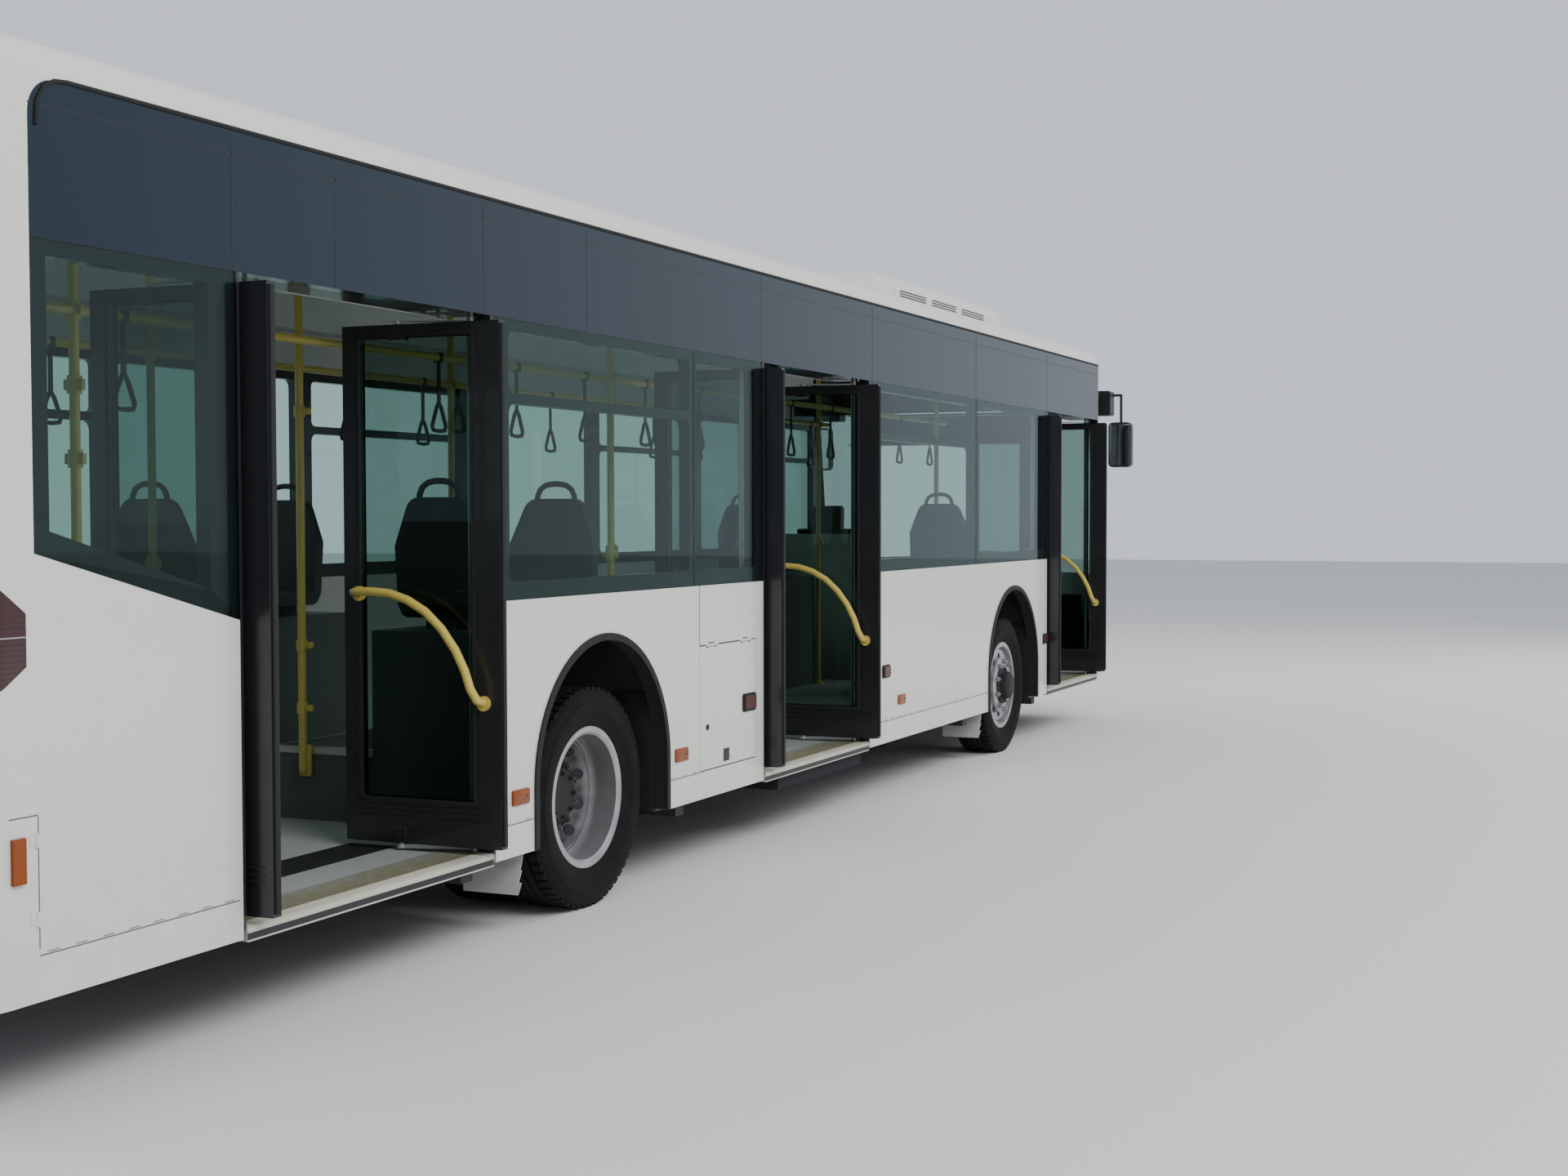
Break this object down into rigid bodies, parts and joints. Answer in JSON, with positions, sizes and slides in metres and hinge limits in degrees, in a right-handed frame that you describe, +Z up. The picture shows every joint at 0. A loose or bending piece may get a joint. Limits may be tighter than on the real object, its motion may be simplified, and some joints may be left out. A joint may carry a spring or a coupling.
{
  "type": "airport passenger bus",
  "caption": "Low floor passenger bus for an airport apron, with double inward swinging doors, glazed sides and twin rear wheels.",
  "frame": {"origin": "on the ground at mid length on the centre line", "axes": "+X forward to the front, +Y to the left side, +Z up; the doors are on the -Y side"},
  "size_m": [12.074, 2.83, 3.16],
  "materials": {
    "white_paint": "gloss",
    "black_gloss": "gloss",
    "glass": "gloss",
    "floor_grey": "matte",
    "black_plastic": "satin",
    "dark_metal": "satin",
    "tyre": "matte",
    "rim_silver": "satin",
    "seat_black": "matte",
    "yellow_pole": "satin",
    "lamp_clear": "gloss",
    "lamp_red": "gloss"
  },
  "bodies": {
    "body": {"side_panels_right": "white_paint", "side_panel_left": "white_paint", "window_frames_right": "black_gloss", "window_frames_left": "black_gloss", "body_glass": "glass", "cantrails": "black_gloss", "roof": "white_paint", "floor_plate": "floor_grey", "wheel_boxes": "floor_grey", "door_frames": "black_gloss", "front_mask": "white_paint", "headlamps": "lamp_clear", "bumpers": "white_paint", "windscreen": "glass", "front_pillars": "black_gloss", "rear_wall": "white_paint", "tail_lamps": "lamp_red", "ac_pod": "white_paint", "mirrors": "black_plastic", "chassis": "dark_metal", "engine_block": "dark_metal", "engine_cover": "floor_grey", "rear_axle": "dark_metal", "front_axle": "dark_metal", "seats": "seat_black", "grab_poles": "yellow_pole", "driver_desk": "black_plastic", "steering_wheel": "black_plastic", "cab_screen": "floor_grey"},
    "engine_lid": {"engine_lid": "white_paint"},
    "service_flap": {"service_flap": "white_paint"},
    "knuckle_left": {"knuckle_left": "dark_metal"},
    "knuckle_right": {"knuckle_right": "dark_metal"},
    "wheel_front_left": {"tyre_front_left": "tyre", "rim_front_left": "rim_silver"},
    "wheel_front_right": {"tyre_front_right": "tyre", "rim_front_right": "rim_silver"},
    "wheels_rear_left": {"tyres_rear_left": "tyre", "rims_rear_left": "rim_silver"},
    "wheels_rear_right": {"tyres_rear_right": "tyre", "rims_rear_right": "rim_silver"},
    "arm_1_rear": {"arm_1_rear": "dark_metal"},
    "leaf_1_rear": {"leaf_1_rear": "black_gloss", "leaf_glass_1_rear": "glass"},
    "arm_1_front": {"arm_1_front": "dark_metal"},
    "leaf_1_front": {"leaf_1_front": "black_gloss", "leaf_glass_1_front": "glass"},
    "arm_2_rear": {"arm_2_rear": "dark_metal"},
    "leaf_2_rear": {"leaf_2_rear": "black_gloss", "leaf_glass_2_rear": "glass"},
    "arm_2_front": {"arm_2_front": "dark_metal"},
    "leaf_2_front": {"leaf_2_front": "black_gloss", "leaf_glass_2_front": "glass"},
    "arm_3_rear": {"arm_3_rear": "dark_metal"},
    "leaf_3_rear": {"leaf_3_rear": "black_gloss", "leaf_glass_3_rear": "glass"},
    "arm_3_front": {"arm_3_front": "dark_metal"},
    "leaf_3_front": {"leaf_3_front": "black_gloss", "leaf_glass_3_front": "glass"}
  },
  "joints": [
    {"name": "engine_lid_hinge", "type": "hinge", "parent": "body", "child": "engine_lid", "pos_m": [-5.99, 0, 1.253], "axis": [0, 1, 0], "range_deg": [0, 80]},
    {"name": "service_flap_hinge", "type": "hinge", "parent": "body", "child": "service_flap", "pos_m": [-1.37, -1.25, 1.047], "axis": [-1, 0, 0], "range_deg": [0, 100]},
    {"name": "steer_left", "type": "hinge", "parent": "body", "child": "knuckle_left", "pos_m": [3.29, 0.935, 0.465], "axis": [0, 0, 1], "range_deg": [-45, 45]},
    {"name": "steer_right", "type": "hinge", "parent": "body", "child": "knuckle_right", "pos_m": [3.29, -0.935, 0.465], "axis": [0, 0, 1], "range_deg": [-45, 45]},
    {"name": "roll_front_left", "type": "hinge", "parent": "knuckle_left", "child": "wheel_front_left", "pos_m": [3.29, 1.058, 0.465], "axis": [0, 1, 0], "continuous": true},
    {"name": "roll_front_right", "type": "hinge", "parent": "knuckle_right", "child": "wheel_front_right", "pos_m": [3.29, -1.058, 0.465], "axis": [0, 1, 0], "continuous": true},
    {"name": "roll_rear_left", "type": "hinge", "parent": "body", "child": "wheels_rear_left", "pos_m": [-2.585, 1.058, 0.465], "axis": [0, 1, 0], "continuous": true},
    {"name": "roll_rear_right", "type": "hinge", "parent": "body", "child": "wheels_rear_right", "pos_m": [-2.585, -1.058, 0.465], "axis": [0, 1, 0], "continuous": true},
    {"name": "door_1_front_arm", "type": "hinge", "parent": "body", "child": "arm_1_front", "pos_m": [-3.437, -1.15, 1.385], "axis": [0, 0, 1], "range_deg": [0, 90]},
    {"name": "door_1_front_leaf", "type": "hinge", "parent": "arm_1_front", "child": "leaf_1_front", "pos_m": [-3.517, -0.87, 1.385], "axis": [0, 0, -1], "range_deg": [0, 180]},
    {"name": "door_1_rear_arm", "type": "hinge", "parent": "body", "child": "arm_1_rear", "pos_m": [-4.937, -1.15, 1.385], "axis": [0, 0, -1], "range_deg": [0, 90]},
    {"name": "door_1_rear_leaf", "type": "hinge", "parent": "arm_1_rear", "child": "leaf_1_rear", "pos_m": [-4.857, -0.87, 1.385], "axis": [0, 0, 1], "range_deg": [0, 180]},
    {"name": "door_2_front_arm", "type": "hinge", "parent": "body", "child": "arm_2_front", "pos_m": [0.518, -1.15, 1.385], "axis": [0, 0, 1], "range_deg": [0, 90]},
    {"name": "door_2_front_leaf", "type": "hinge", "parent": "arm_2_front", "child": "leaf_2_front", "pos_m": [0.438, -0.87, 1.385], "axis": [0, 0, -1], "range_deg": [0, 180]},
    {"name": "door_2_rear_arm", "type": "hinge", "parent": "body", "child": "arm_2_rear", "pos_m": [-0.982, -1.15, 1.385], "axis": [0, 0, -1], "range_deg": [0, 90]},
    {"name": "door_2_rear_leaf", "type": "hinge", "parent": "arm_2_rear", "child": "leaf_2_rear", "pos_m": [-0.902, -0.87, 1.385], "axis": [0, 0, 1], "range_deg": [0, 180]},
    {"name": "door_3_front_arm", "type": "hinge", "parent": "body", "child": "arm_3_front", "pos_m": [5.6, -1.15, 1.385], "axis": [0, 0, 1], "range_deg": [0, 90]},
    {"name": "door_3_front_leaf", "type": "hinge", "parent": "arm_3_front", "child": "leaf_3_front", "pos_m": [5.52, -0.87, 1.385], "axis": [0, 0, -1], "range_deg": [0, 180]},
    {"name": "door_3_rear_arm", "type": "hinge", "parent": "body", "child": "arm_3_rear", "pos_m": [4.1, -1.15, 1.385], "axis": [0, 0, -1], "range_deg": [0, 90]},
    {"name": "door_3_rear_leaf", "type": "hinge", "parent": "arm_3_rear", "child": "leaf_3_rear", "pos_m": [4.18, -0.87, 1.385], "axis": [0, 0, 1], "range_deg": [0, 180]}
  ],
  "couplings": [
    {"joint": "steer_right", "follows": "steer_left", "ratio": 1},
    {"joint": "door_1_rear_arm", "follows": "door_1_front_arm", "ratio": 1},
    {"joint": "door_1_front_leaf", "follows": "door_1_front_arm", "ratio": 2},
    {"joint": "door_1_rear_leaf", "follows": "door_1_front_arm", "ratio": 2},
    {"joint": "door_2_rear_arm", "follows": "door_2_front_arm", "ratio": 1},
    {"joint": "door_2_front_leaf", "follows": "door_2_front_arm", "ratio": 2},
    {"joint": "door_2_rear_leaf", "follows": "door_2_front_arm", "ratio": 2},
    {"joint": "door_3_rear_arm", "follows": "door_3_front_arm", "ratio": 1},
    {"joint": "door_3_front_leaf", "follows": "door_3_front_arm", "ratio": 2},
    {"joint": "door_3_rear_leaf", "follows": "door_3_front_arm", "ratio": 2}
  ]
}
